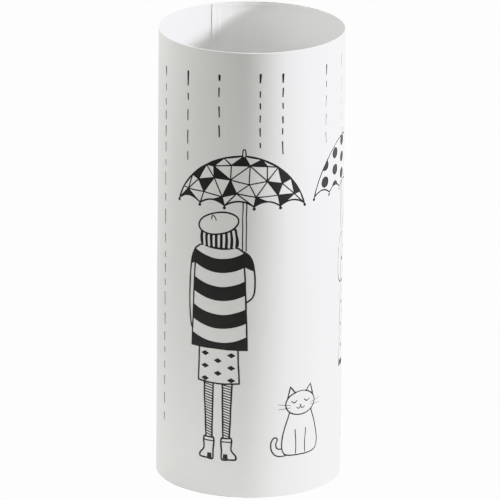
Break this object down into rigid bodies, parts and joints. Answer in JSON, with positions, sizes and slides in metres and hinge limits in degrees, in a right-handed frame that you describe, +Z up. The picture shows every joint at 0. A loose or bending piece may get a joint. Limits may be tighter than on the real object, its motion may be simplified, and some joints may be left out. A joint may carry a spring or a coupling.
{
  "type": "umbrella stand",
  "caption": "Free-standing cylindrical sheet-steel umbrella stand, open at the top, with a drip tray that lifts out and rubber feet.",
  "frame": {"origin": "on the floor, at the middle of the round base", "axes": "+Z up along the cylinder's axis; -Y is the front, which carries the main drawing; the lap seam is at the back, 20 to 26 degrees to the left of +Y as seen from the front"},
  "size_m": [0.196, 0.196, 0.488],
  "materials": {
    "powder_coat": "satin",
    "tray_plastic": "matte",
    "foot_rubber": "matte",
    "print_ink": "satin"
  },
  "bodies": {
    "stand": {"wall_sheet": "powder_coat", "base_pan": "powder_coat", "foot_pad_back_left": "foot_rubber", "foot_pad_back_right": "foot_rubber", "foot_pad_front_left": "foot_rubber", "foot_pad_front_right": "foot_rubber"},
    "tray": {"drip_tray": "tray_plastic"}
  },
  "joints": [
    {"name": "tray_lift", "type": "slide", "parent": "stand", "child": "tray", "axis": [0, 0, 1], "range_m": [0, 0.5]}
  ]
}
